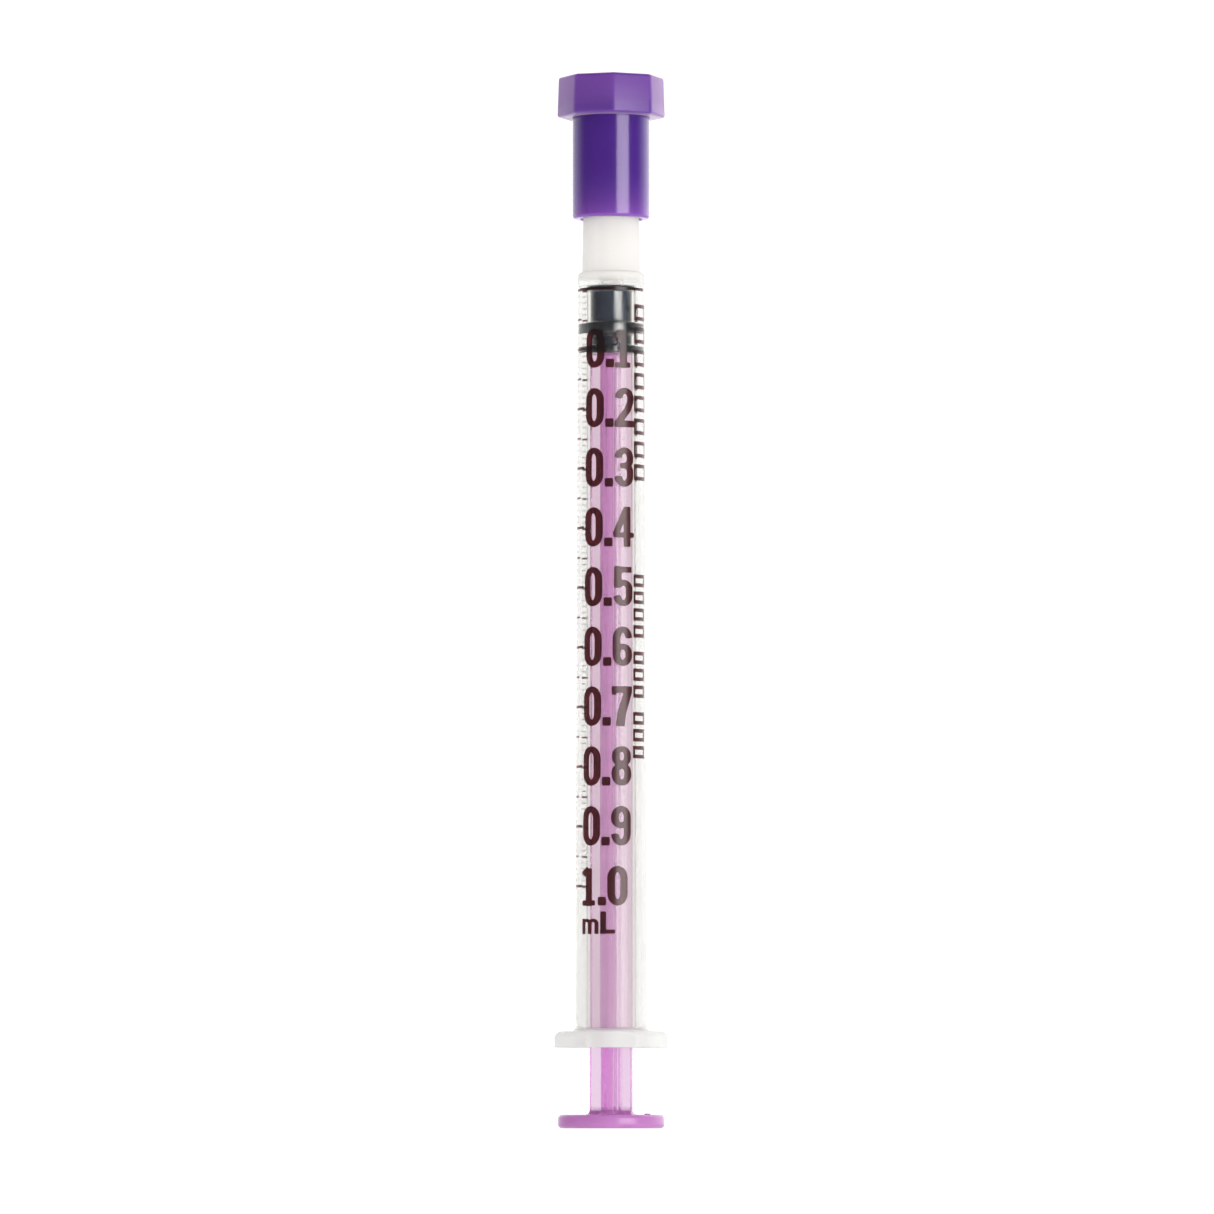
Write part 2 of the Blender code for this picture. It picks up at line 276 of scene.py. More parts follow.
def turned(name, corners, closed=False):
    """A turned piece: an outline in radius and height, swept once round the Z axis."""
    points = rounded_outline(corners, closed)
    mesh = bpy.data.meshes.new(name)
    edges = [(index, index + 1) for index in range(len(points) - 1)]
    if closed:
        edges.append((len(points) - 1, 0))
    mesh.from_pydata([(x, 0.0, z) for x, z in points], edges, [])
    piece = link(name, mesh)
    screw = piece.modifiers.new("turn", "SCREW")
    screw.steps = SEGMENTS
    screw.render_steps = SEGMENTS
    screw.use_merge_vertices = True
    screw.merge_threshold = MERGE_DISTANCE
    return piece


def combine(piece, operation, *tools):
    """Joins the tools to the piece or cuts them away."""
    for tool in tools:
        boolean = piece.modifiers.new(tool.name, "BOOLEAN")
        boolean.operation = operation
        boolean.solver = "EXACT"
        boolean.object = tool


def weld(mesh):
    """Merges the points that booleans leave almost on top of each other."""
    shape = bmesh.new()
    shape.from_mesh(mesh)
    bmesh.ops.remove_doubles(shape, verts=shape.verts, dist=MERGE_DISTANCE)
    shape.to_mesh(mesh)
    shape.free()


def settle(piece, tools=(), sharp_angle=SHARP_ANGLE):
    """Applies the piece's modifiers, removes its tools and shades it smooth between sharp edges."""
    bpy.context.view_layer.update()
    graph = bpy.context.evaluated_depsgraph_get()
    mesh = bpy.data.meshes.new_from_object(piece.evaluated_get(graph), depsgraph=graph)
    mesh.name = piece.name
    if tools:
        weld(mesh)
    piece.modifiers.clear()
    piece.data = mesh
    mesh.transform(piece.matrix_world)
    piece.matrix_world.identity()
    for tool in tools:
        bpy.data.objects.remove(tool)
    mesh.shade_smooth()
    mesh.set_sharp_from_angle(angle=sharp_angle)
    return piece


def tip_radius(height):
    """The oral tip's outer radius, on its slow taper from the shoulder."""
    return TIP_BASE_RADIUS - TIP_TAPER * (height - SHOULDER)


def barrel_radius(height):
    """The barrel's outer radius, which narrows evenly from the flange to the shoulder."""
    share = (height - FLANGE_TOP) / (SHOULDER - FLANGE_TOP)
    return BARREL_REAR_RADIUS + share * (BARREL_FRONT_RADIUS - BARREL_REAR_RADIUS)


def make_barrel():
    """The tube with its finger flange, shoulder and oral tip, the bore and the lumen."""
    barrel = turned(
        "barrel_shell",
        [
            (tip_radius(TIP_END), TIP_END, TIP_END_ROUND),
            (TIP_BASE_RADIUS, SHOULDER, TIP_BASE_FILLET),
            (BARREL_FRONT_RADIUS, SHOULDER, SHOULDER_ROUND),
            (BARREL_REAR_RADIUS, FLANGE_TOP, FLANGE_FILLET),
            (FLANGE_RADIUS, FLANGE_TOP, FLANGE_TOP_ROUND),
            (FLANGE_RADIUS, FLANGE_BOTTOM, FLANGE_BOTTOM_ROUND),
            (BORE_RADIUS + MOUTH_CHAMFER, FLANGE_BOTTOM, MOUTH_OUTER_ROUND),
            (BORE_RADIUS, FLANGE_BOTTOM + MOUTH_CHAMFER, MOUTH_INNER_ROUND),
            (BORE_RADIUS, BORE_END, BORE_END_ROUND),
            (LUMEN_RADIUS, BORE_END, LUMEN_REAR_ROUND),
            (LUMEN_RADIUS, TIP_END, LUMEN_FRONT_ROUND),
        ],
        closed=True,
    )
    settle(barrel)
    for vertex in barrel.data.vertices:  # the flange's two anti-roll flats
        vertex.co.y = max(-FLANGE_FLAT, min(FLANGE_FLAT, vertex.co.y))
    return barrel


def make_stopper():
    """The ribbed stopper, with the hollow that grips the rod's knob."""
    hollow_bottom = KNOB_BOTTOM - KNOB_GAP
    hollow_top = KNOB_TOP + KNOB_GAP
    return settle(
        turned(
            "stopper_rubber",
            [
                (0.0, STOPPER_FRONT, 0.0),
                (RIB_RADIUS, STOPPER_FRONT, FRONT_ROUND),
                (RIB_RADIUS, FRONT_RIB_BOTTOM, RIB_ROUND),
                (WAIST_RADIUS, FRONT_RIB_BOTTOM, WAIST_ROUND),
                (WAIST_RADIUS, MIDDLE_RIB_TOP, WAIST_ROUND),
                (RIB_RADIUS, MIDDLE_RIB_TOP, RIB_ROUND),
                (RIB_RADIUS, MIDDLE_RIB_BOTTOM, RIB_ROUND),
                (WAIST_RADIUS, MIDDLE_RIB_BOTTOM, WAIST_ROUND),
                (WAIST_RADIUS, REAR_RIB_TOP, WAIST_ROUND),
                (RIB_RADIUS, REAR_RIB_TOP, RIB_ROUND),
                (RIB_RADIUS, STOPPER_REAR, RIB_ROUND),
                (NECK_RADIUS + NECK_GAP, STOPPER_REAR, NECK_HOLE_ROUND),
                (NECK_RADIUS + NECK_GAP, hollow_bottom, 0.0),
                (KNOB_RADIUS + KNOB_GAP, hollow_bottom, 0.0),
                (KNOB_RADIUS + KNOB_GAP, KNOB_SHOULDER, 0.0),
                (KNOB_POINT_RADIUS + KNOB_GAP, hollow_top, 0.0),
                (0.0, hollow_top, 0.0),
            ],
        )
    )


def cross_section(grow):
    """The shaft's cross-shaped outline, moved outwards by grow, as a ring of points."""
    radius = SHAFT_RADIUS + grow
    half = SHAFT_HALF_RIB + grow
    tip = SHAFT_TIP_ROUND + grow
    fillet = max(SHAFT_INNER_FILLET - grow, SHAFT_LEAST_FILLET)
    tip_x = math.sqrt((radius - tip) ** 2 - (half - tip) ** 2)
    tip_y = half - tip
    tip_edge = math.degrees(math.atan2(tip_y, tip_x))
    inner = half + fillet
    eighth = curve(0.0, 0.0, radius, radius, 0.0, tip_edge, SHAFT_ARC_STEPS)
    eighth += curve(tip_x, tip_y, tip, tip, tip_edge, 90.0, SHAFT_ARC_STEPS)[1:]
    eighth += curve(inner, inner, fillet, fillet, 270.0, 225.0, SHAFT_FILLET_STEPS)
    quarter = eighth + [(y, x) for x, y in reversed(eighth[1:-1])]
    ring = []
    for turn in range(4):
        angle = SHAFT_TURN + turn * math.pi / 2.0
        cosine = math.cos(angle)
        sine = math.sin(angle)
        ring += [(cosine * x - sine * y, sine * x + cosine * y) for x, y in quarter]
    return ring


def lofted(name, rings):
    """A closed solid through rings of points at rising heights, each (height, ring)."""
    shape = bmesh.new()
    loops = [[shape.verts.new((x, y, height)) for x, y in ring] for height, ring in rings]
    for lower, upper in zip(loops, loops[1:]):
        for index in range(len(lower)):
            after = (index + 1) % len(lower)
            shape.faces.new((lower[index], lower[after], upper[after], upper[index]))
    shape.faces.new(list(reversed(loops[0])))
    shape.faces.new(loops[-1])
    mesh = bpy.data.meshes.new(name)
    shape.to_mesh(mesh)
    shape.free()
    return link(name, mesh)


def make_rod():
    """The thumb disc with its gate mark, the flared cross-shaped shaft, the neck and the knob."""
    rod = turned(
        "rod_moulding",
        [
            (0.0, DISC_THICKNESS, 0.0),
            (DISC_RADIUS, DISC_THICKNESS, DISC_ROUND),
            (DISC_RADIUS, 0.0, DISC_ROUND),
            (0.0, 0.0, 0.0),
        ],
    )
    rings = [(DISC_THICKNESS / 2.0, cross_section(SHAFT_FLARE))]
    for step in range(FLARE_STEPS + 1):
        height = SHAFT_FLARE * step / FLARE_STEPS
        grow = SHAFT_FLARE - math.sqrt(SHAFT_FLARE**2 - (SHAFT_FLARE - height) ** 2)
        rings.append((DISC_THICKNESS + height, cross_section(grow)))
    rings.append((SHAFT_END, cross_section(0.0)))
    shaft = lofted("shaft", rings)
    knob = turned(
        "knob",
        [
            (0.0, KNOB_TOP, 0.0),
            (KNOB_POINT_RADIUS, KNOB_TOP, 0.0),
            (KNOB_RADIUS, KNOB_SHOULDER, 0.0),
            (KNOB_RADIUS, KNOB_BOTTOM, 0.0),
            (NECK_RADIUS, KNOB_BOTTOM, 0.0),
            (NECK_RADIUS, SHAFT_END - OVERLAP, 0.0),
            (0.0, SHAFT_END - OVERLAP, 0.0),
        ],
    )
    gate = turned(
        "gate",
        [
            (0.0, DISC_THICKNESS + GATE_HEIGHT, 0.0),
            (GATE_RADIUS, DISC_THICKNESS + GATE_HEIGHT, GATE_ROUND),
            (GATE_ROOT_RADIUS, DISC_THICKNESS / 2.0, 0.0),
            (0.0, DISC_THICKNESS / 2.0, 0.0),
        ],
    )
    gate.location = (*GATE_PLACE, 0.0)
    combine(rod, "UNION", shaft, knob, gate)
    return settle(rod, (shaft, knob, gate))


def make_cap():
    """The octagonal head and round skirt, with the bore, the sealing pin and the top recess."""
    shape = bmesh.new()
    head_height = CAP_TOP - CAP_HEAD_BOTTOM
    bmesh.ops.create_cone(
        shape,
        cap_ends=True,
        segments=CAP_HEAD_SIDES,
        radius1=CAP_HEAD_BOTTOM_RADIUS,
        radius2=CAP_HEAD_TOP_RADIUS,
        depth=head_height,
    )
    mesh = bpy.data.meshes.new("cap_moulding")
    shape.to_mesh(mesh)
    shape.free()
    cap = link("cap_moulding", mesh)
    cap.location.z = CAP_TOP - head_height / 2.0
    cap.rotation_euler.z = CAP_HEAD_TURN
    bevel = cap.modifiers.new("rounded edges", "BEVEL")
    bevel.width = CAP_HEAD_ROUND
    bevel.segments = ARC_STEPS
    skirt_top = CAP_HEAD_BOTTOM + OVERLAP
    skirt = turned(
        "cap skirt",
        [
            (0.0, skirt_top, 0.0),
            (CAP_SKIRT_RADIUS, skirt_top, 0.0),
            (CAP_SKIRT_RADIUS, CAP_MOUTH, CAP_RIM_ROUND),
            (0.0, CAP_MOUTH, 0.0),
        ],
    )
    mouth_radius = tip_radius(CAP_MOUTH) + CAP_GAP
    bore = turned(
        "cap bore",
        [
            (0.0, PIN_BOTTOM, 0.0),
            (PIN_RADIUS, PIN_BOTTOM, 0.0),
            (PIN_RADIUS, CAP_ROOF, 0.0),
            (tip_radius(CAP_ROOF) + CAP_GAP, CAP_ROOF, 0.0),
            (mouth_radius, CAP_MOUTH + CAP_LEAD_IN, CAP_LEAD_IN_ROUND),
            (mouth_radius + CAP_LEAD_IN + OVERLAP, CAP_MOUTH - OVERLAP, 0.0),
            (0.0, CAP_MOUTH - OVERLAP, 0.0),
        ],
    )
    recess_floor = CAP_TOP - CAP_RECESS_DEPTH
    recess_mouth = CAP_RECESS_RADIUS + CAP_RECESS_DRAFT * (CAP_RECESS_DEPTH + OVERLAP)
    recess = turned(
        "cap recess",
        [
            (0.0, CAP_TOP + OVERLAP, 0.0),
            (recess_mouth, CAP_TOP + OVERLAP, 0.0),
            (CAP_RECESS_RADIUS, recess_floor, CAP_RECESS_ROUND),
            (0.0, recess_floor, 0.0),
        ],
    )
    combine(cap, "UNION", skirt)
    combine(cap, "DIFFERENCE", bore, recess)
    return settle(cap, (skirt, bore, recess), CAP_SHARP_ANGLE)


# ---------------------------------------------------------------- print


def glyphs():
    """Each glyph's width and strokes, the strokes as (points, half weight, closed)."""
    width = 0.53
    left = STEM_HALF
    right = width - STEM_HALF
    middle = width / 2.0
    bowl = middle - left
    floor = LEVEL_HALF
    ceiling = 1.0 - LEVEL_HALF

    def stroke(points, half=LEVEL_HALF):
        """An open stroke of straight stretches from point to point."""
        return (points, half, False)

    def ring(low, high, reach_low, reach_high, reach_x=bowl):
        """A closed bowl with elliptical ends, from low to high along the middle of its stroke."""
        points = curve(middle, high - reach_high, reach_x, reach_high, 0.0, 180.0)
        points += curve(middle, low + reach_low, reach_x, reach_low, 180.0, 360.0)
        return (points, LEVEL_HALF, True)

    low_hook = curve(middle, floor + 0.21, bowl, 0.21, 0.0, -172.0)
    high_hook = curve(middle, ceiling - 0.20, bowl, 0.20, 172.0, 0.0)
    six = [
        ring(floor, 0.49, 0.21, 0.17),
        stroke([(left, 0.30), *curve(middle, ceiling - 0.235, bowl, 0.235, 180.0, 6.0)]),
    ]
    nine = [([(width - x, 1.0 - y) for x, y in points], half, loop) for points, half, loop in six]
    stem_m = 0.10
    arch_m = 0.185
    half_m = 0.08
    m_strokes = [stroke([(stem_m, 0.0), (stem_m, 0.69)], half_m)]
    for start in (stem_m, stem_m + 2.0 * arch_m):
        arch = curve(start + arch_m, 0.47, arch_m, 0.15, 165.0, 0.0)
        m_strokes.append(stroke([*arch, (start + 2.0 * arch_m, 0.0)], half_m))
    return {
        "0": (width, [ring(floor, ceiling, 0.24, 0.24)]),
        "1": (
            0.45,
            [
                stroke([(0.215, 0.0), (0.215, 0.93)]),
                stroke([(0.0, 0.067), (0.40, 0.067)], 0.067),
                stroke([(0.025, 0.79), (0.23, 0.925)]),
            ],
        ),
        "2": (
            width,
            [
                stroke([*high_hook, (0.42, 0.63), (0.34, 0.44), (0.20, 0.27), (0.11, 0.13)]),
                stroke([(0.0, 0.085), (width, 0.085)], 0.085),
            ],
        ),
        "3": (
            width,
            [
                stroke([*high_hook, *curve(0.25, 0.665, right - 0.255, 0.13, 0.0, -90.0)]),
                stroke([*curve(0.25, 0.395, right - 0.25, 0.14, 90.0, 0.0), *low_hook]),
                stroke([(0.16, 0.535), (0.28, 0.535)], 0.07),
            ],
        ),
        "4": (
            width + 0.02,
            [
                stroke([(0.355, 0.0), (0.355, 1.0)]),
                stroke([(0.0, 0.29), (width + 0.02, 0.29)], 0.062),
                stroke([(0.33, 0.97), (0.045, 0.30)], 0.062),
            ],
        ),
        "5": (
            width,
            [
                stroke([(0.05, ceiling), (0.50, ceiling)]),
                stroke([(0.125, 1.0), (0.115, 0.47)]),
                stroke([*curve(middle, 0.43, bowl, 0.165, 150.0, 0.0), *low_hook]),
            ],
        ),
        "6": (width, six),
        "7": (
            width,
            [
                stroke([(0.0, 0.915), (width, 0.915)], 0.085),
                stroke([(0.055, 0.95), (0.055, 0.79)], 0.045),
                stroke([(0.43, 0.87), (0.34, 0.60), (0.25, 0.33), (0.215, 0.0)], 0.088),
            ],
        ),
        "8": (width, [ring(0.555, ceiling, 0.14, 0.16, 0.155), ring(floor, 0.505, 0.20, 0.17)]),
        "9": (width, nine),
        ".": (0.19, [stroke([(0.0, 0.11), (0.19, 0.11)], 0.11)]),
        "m": (2.0 * stem_m + 4.0 * arch_m, m_strokes),
        "L": (
            0.68,
            [
                stroke([(0.14, 0.0), (0.14, 1.0)], 0.106),
                stroke([(0.0, 0.095), (0.68, 0.095)], 0.095),
            ],
        ),
    }


def stroke_field(x, y, points, half, closed):
    """How far each grid point lies outside a stroke with butt ends, below 0 inside it.

    Widths are measured with x squeezed, which makes upright strokes heavier than level ones.
    """
    field = np.full(x.shape, FAR)
    squeezed = [(px * STEM_CONTRAST, py) for px, py in points]
    x = x * STEM_CONTRAST
    pairs = list(zip(squeezed, squeezed[1:]))
    if closed:
        pairs.append((squeezed[-1], squeezed[0]))
    for index, ((ax, ay), (bx, by)) in enumerate(pairs):
        along_x = bx - ax
        along_y = by - ay
        length = math.hypot(along_x, along_y)
        if length < NO_LENGTH:
            continue
        along = ((x - ax) * along_x + (y - ay) * along_y) / length
        across = np.abs((x - ax) * along_y - (y - ay) * along_x) / length
        near = np.clip(along, 0.0, length)
        value = np.hypot(along - near, across) - half
        if not closed and index == 0:
            value = np.where(along < 0.0, np.maximum(across - half, -along), value)
        if not closed and index == len(pairs) - 1:
            value = np.where(along > length, np.maximum(across - half, along - length), value)
        field = np.minimum(field, value)
    return field


def ink_glyph(shape, strokes, height, place):
    """Adds a glyph to the mesh: the part of a fine grid that lies inside its strokes.

    place maps a point in metres, from the glyph's lower left, to the point in space.
    """
    cell = INK_CELL / height
    margin = 2.0 * LEVEL_HALF
    grid = np.arange(-margin, 1.0 + margin + cell, cell)
    x, y = np.meshgrid(grid, grid)
    field = np.full(x.shape, FAR)
    for points, half, closed in strokes:
        field = np.minimum(field, stroke_field(x, y, points, half, closed))
    vertices = {}

    def vertex(key, px, py):
        if key not in vertices:
            vertices[key] = shape.verts.new(place(px * height, py * height))
        return vertices[key]

    for row in range(len(grid) - 1):
        for column in range(len(grid) - 1):
            corners = ((row, column), (row, column + 1), (row + 1, column + 1), (row + 1, column))
            values = [field[corner] for corner in corners]
            if min(values) >= 0.0:
                continue
            loop = []
            for index in range(4):
                here = corners[index]
                there = corners[(index + 1) % 4]
                value = values[index]
                following = values[(index + 1) % 4]
                if value < 0.0:
                    loop.append(vertex(here, x[here], y[here]))
                if (value < 0.0) != (following < 0.0):
                    share = value / (value - following)
                    px = x[here] + share * (x[there] - x[here])
                    py = y[here] + share * (y[there] - y[here])
                    loop.append(vertex(frozenset((here, there)), px, py))
            if len(loop) >= 3:
                shape.faces.new(loop)


def ink_text(shape, text, height, bottom, angle):
    """Adds a line of glyphs that starts at an angle from the front."""
    drawn = glyphs()
    radius = barrel_radius(bottom)
    for letter in text:
        width, strokes = drawn[letter]
        ink_glyph(shape, strokes, height, on_barrel(angle, bottom))
        angle += (width * height + LETTER_GAP) / radius


def ink_bar(shape, width, height, place):
    """Adds a plain bar of ink, finely cut along its width so that it bends round the barrel."""
    columns = max(1, round(width / INK_CELL))
    lower = [shape.verts.new(place(width * i / columns, 0.0)) for i in range(columns + 1)]
    upper = [shape.verts.new(place(width * i / columns, height)) for i in range(columns + 1)]
    for i in range(columns):
        shape.faces.new((lower[i], lower[i + 1], upper[i + 1], upper[i]))


def ink_box(shape, width, height, place):
    """Adds the outline of a box of ink."""
    columns = round(width / INK_CELL)
    edge = round(BOX_SIDE / INK_CELL)
    levels = (0.0, BOX_STROKE, height - BOX_STROKE, height)
    rows = [
        [shape.verts.new(place(width * i / columns, level)) for i in range(columns + 1)]
        for level in levels
    ]
    for row, (lower, upper) in enumerate(zip(rows, rows[1:])):
        for i in range(columns):
            if row != 1 or i < edge or i >= columns - edge:
                shape.faces.new((lower[i], lower[i + 1], upper[i + 1], upper[i]))
    for vertex in [vertex for row in rows for vertex in row if not vertex.link_faces]:
        shape.verts.remove(vertex)


def on_barrel(angle, height):
    """A function that wraps print round the barrel, from its lower left at an angle from front."""

    def place(across, up):
        z = height + up
        radius = barrel_radius(z)
        turn = angle + across / radius
        surface = radius + INK_PROUD
        return (surface * math.sin(turn), -surface * math.cos(turn), z)

    return place


def print_start(height):
    """The angle of the print's left edge at a height, measured from the front."""
    return PRINT_START + PRINT_SKEW * (height - PRINT_DATUM)


def ink_piece(name, shape):
    """Makes the flat ink into a thin closed layer that sinks a little into the plastic."""
    mesh = bpy.data.meshes.new(name)
    shape.to_mesh(mesh)
    shape.free()
    piece = link(name, mesh)
    solid = piece.modifiers.new("layer", "SOLIDIFY")
    solid.thickness = INK_PROUD + INK_SINK
    solid.offset = -1.0
    return settle(piece)


def make_numerals():
    """The numbers beside the scale, each centred on its graduation."""
    shape = bmesh.new()
    for tenth in range(1, 11):
        level = SCALE_ZERO - SCALE_LENGTH * tenth / 10.0
        bottom = level - NUMERAL_HEIGHT / 2.0
        ink_text(shape, f"{tenth / 10.0:.1f}", NUMERAL_HEIGHT, bottom, print_start(level))
    return ink_piece("scale_numerals", shape)


def make_unit():
    """The unit under the last number."""
    shape = bmesh.new()
    bottom = SCALE_ZERO - SCALE_LENGTH - NUMERAL_HEIGHT / 2.0 - UNIT_GAP - UNIT_HEIGHT
    ink_text(shape, "mL", UNIT_HEIGHT, bottom, print_start(bottom))
    return ink_piece("scale_unit", shape)


def make_ticks():
    """The graduations, left of the numbers, their far ends in line."""
    shape = bmesh.new()
    for hundredth in range(GRADUATIONS + 1):
        level = SCALE_ZERO - SCALE_LENGTH * hundredth / GRADUATIONS
        radius = barrel_radius(level)
        far_end = print_start(level) - (MAJOR_TICK[0] + TICK_GAP) / radius
        length, weight = FINE_TICK
        if hundredth % 10 == 0:
            length, weight = MAJOR_TICK
        elif hundredth % 5 == 0:
            length, weight = MEDIUM_TICK
        if hundredth == 0:
            length = (ZERO_LINE_END - far_end) * radius
        ink_bar(shape, length, weight, on_barrel(far_end, level - weight / 2.0))
    return ink_piece("scale_ticks", shape)


def make_side_print():
    """Plain empty boxes where such a barrel carries two lines of print that run along it."""
    shape = bmesh.new()
    for top, count, pitch, length, width in SIDE_PRINT:
        for index in range(count):
            bottom = top - index * pitch - length
            place = on_barrel(SIDE_PRINT_START + PRINT_SKEW * (bottom - PRINT_DATUM), bottom)
            ink_box(shape, width, length, place)
    return ink_piece("side_print", shape)


# ---------------------------------------------------------------- materials


class Nodes:
    """A short way to build a node tree. A colour is given as (red, green, blue)."""

    def __init__(self, tree):
        self.tree = tree

    def add(self, kind, inputs=(), **settings):
        node = self.tree.nodes.new(kind)
        for key, value in settings.items():
            setattr(node, key, value)
        for key, value in dict(inputs).items():
            self.feed(node.inputs[key], value)
        return node

    def feed(self, socket, value):
        """Links another node's output to the socket, or gives it a fixed value."""
        if isinstance(value, bpy.types.NodeSocket):
            self.tree.links.new(value, socket)
        elif socket.type == "RGBA":
            socket.default_value = (*value, 1.0)
        else:
            socket.default_value = value

    def place(self):
        """Where a point is on the object, in metres."""
        return self.add("ShaderNodeTexCoord").outputs["Object"]

    def noise(self, scale, detail=2.0, stretch=(1.0, 1.0, 1.0)):
        mapping = self.add("ShaderNodeMapping", {"Vector": self.place(), "Scale": stretch})
        inputs = {"Vector": mapping.outputs["Vector"], "Scale": scale, "Detail": detail}
        return self.add("ShaderNodeTexNoise", inputs).outputs["Fac"]

    def ramp(self, value, from_low, from_high, to_low, to_high, interpolation="SMOOTHSTEP"):
        inputs = {
            "Value": value,
            "From Min": from_low,
            "From Max": from_high,
            "To Min": to_low,
            "To Max": to_high,
        }
        settings = {"clamp": True, "interpolation_type": interpolation}
        return self.add("ShaderNodeMapRange", inputs, **settings).outputs["Result"]

    def bump(self, height, strength, distance):
        inputs = {"Height": height, "Strength": strength, "Distance": distance}
        return self.add("ShaderNodeBump", inputs).outputs["Normal"]

    def mix_colour(self, factor, first, second):
        inputs = {0: factor, 6: first, 7: second}
        return self.add("ShaderNodeMix", inputs, data_type="RGBA").outputs[2]

    def mix_value(self, factor, first, second):
        inputs = {0: factor, 2: first, 3: second}
        return self.add("ShaderNodeMix", inputs, data_type="FLOAT").outputs[0]

    def mix_shader(self, factor, first, second):
        inputs = {0: factor, 1: first, 2: second}
        return self.add("ShaderNodeMixShader", inputs).outputs["Shader"]

    def maths(self, operation, first, second):
        inputs = {0: first, 1: second}
        return self.add("ShaderNodeMath", inputs, operation=operation).outputs["Value"]

    def surface(self, kind, **inputs):
        """A surface shader: an input's name is written with _ for each space."""
        spaced = {key.replace("_", " "): value for key, value in inputs.items()}
        return self.add("ShaderNodeBsdf" + kind, spaced).outputs["BSDF"]


class Material(Nodes):
    """A new material, its tree started with a Principled shader."""

    def __init__(self, name):
        self.material = bpy.data.materials.new(name)
        self.material.use_nodes = True
        super().__init__(self.material.node_tree)
        self.shader = self.tree.nodes["Principled BSDF"]
        self.output = self.tree.nodes["Material Output"]

    def principled(self, **inputs):
        """Sets the first shader's inputs, named as in surface, and gives its output."""
        for key, value in inputs.items():
            self.feed(self.shader.inputs[key.replace("_", " ")], value)
        return self.shader.outputs["BSDF"]

    def finish(self, surface):
        self.feed(self.output.inputs["Surface"], surface)
        return self.material

    def height(self):
        """How high a point is on the object, in metres."""
        return self.add("ShaderNodeSeparateXYZ", {"Vector": self.place()}).outputs["Z"]

    def radius(self):
        """How far a point is from the object's axis, in metres."""
        inputs = {0: self.place(), 1: (1.0, 1.0, 0.0)}
        flat = self.add("ShaderNodeVectorMath", inputs, operation="MULTIPLY").outputs["Vector"]
        return self.add("ShaderNodeVectorMath", {0: flat}, operation="LENGTH").outputs["Value"]


def clear_plastic():
    """Clear polypropylene, milkier where it is thick: at the oral tip and in the flange.

    Where it is seen at a glancing angle, its gloss gives way to a grey see-through film: painted
    shade that keeps its edges grey.
    """
    tip_haze = 0.90
    tip_haze_reach = 0.95 * MM
    flange_haze = 0.72
    flange_blend_low = FLANGE_TOP - 0.1 * MM
    flange_blend_high = FLANGE_TOP + 0.4 * MM
    tube_haze_rear = 0.14
    tube_haze_front = 0.015
    share_through = 0.60
    glancing_start = 0.55
    glancing_full = 0.88
    edge_film_share = 0.75

    nodes = Material("clear_polypropylene")
    height = nodes.height()
    tip = nodes.ramp(height, BORE_END, BORE_END + tip_haze_reach, 0.0, tip_haze)
    flange = nodes.ramp(height, flange_blend_low, flange_blend_high, flange_haze, 0.0)
    tube = nodes.ramp(height, FLANGE_TOP, BORE_END, tube_haze_rear, tube_haze_front, "LINEAR")
    flow = nodes.noise(200.0, detail=1.0, stretch=(1.0, 1.0, 0.05))
    uneven = nodes.ramp(flow, 0.3, 0.7, 0.85, 1.15)
    thick = nodes.maths("MAXIMUM", tip, nodes.maths("MAXIMUM", flange, tube))
    haze = nodes.maths("MULTIPLY", thick, uneven)
    clear = nodes.principled(
        Base_Color=(0.985, 0.978, 0.950),
        Roughness=0.06,
        IOR=1.49,
        Specular_Tint=(0.35, 0.35, 0.35),
        Transmission_Weight=1.0,
        Normal=nodes.bump(flow, 0.015, 0.02 * MM),
    )
    at_tip = nodes.ramp(height, FLANGE_BOTTOM, TIP_END, 0.0, 1.0)
    above_flange = nodes.ramp(height, FLANGE_TOP, flange_blend_high, 0.0, 1.0)
    front_colour = nodes.mix_colour(at_tip, (0.99, 0.980, 0.955), (0.90, 0.885, 0.86))
    front_colour = nodes.mix_colour(above_flange, (0.86, 0.865, 0.845), front_colour)
    through_colour = nodes.mix_colour(at_tip, (1.0, 0.990, 0.970), (0.97, 0.96, 0.94))
    through_colour = nodes.mix_colour(above_flange, (0.95, 0.965, 0.94), through_colour)
    milk_front = nodes.surface(
        "Principled", Base_Color=front_colour, Roughness=0.24, Specular_IOR_Level=0.05
    )
    milk_through = nodes.surface("Translucent", Color=through_colour)
    milk = nodes.mix_shader(share_through, milk_front, milk_through)
    # Painted shade: at glancing angles a grey see-through film takes the place of the glass.
    facing = nodes.add("ShaderNodeLayerWeight", {"Blend": 0.5}).outputs["Facing"]
    glancing = nodes.ramp(facing, glancing_start, glancing_full, 0.0, edge_film_share)
    edge_shade_film = nodes.surface("Transparent", Color=(0.90, 0.90, 0.88))
    clear = nodes.mix_shader(glancing, clear, edge_shade_film)
    return nodes.finish(nodes.mix_shader(haze, clear, milk))


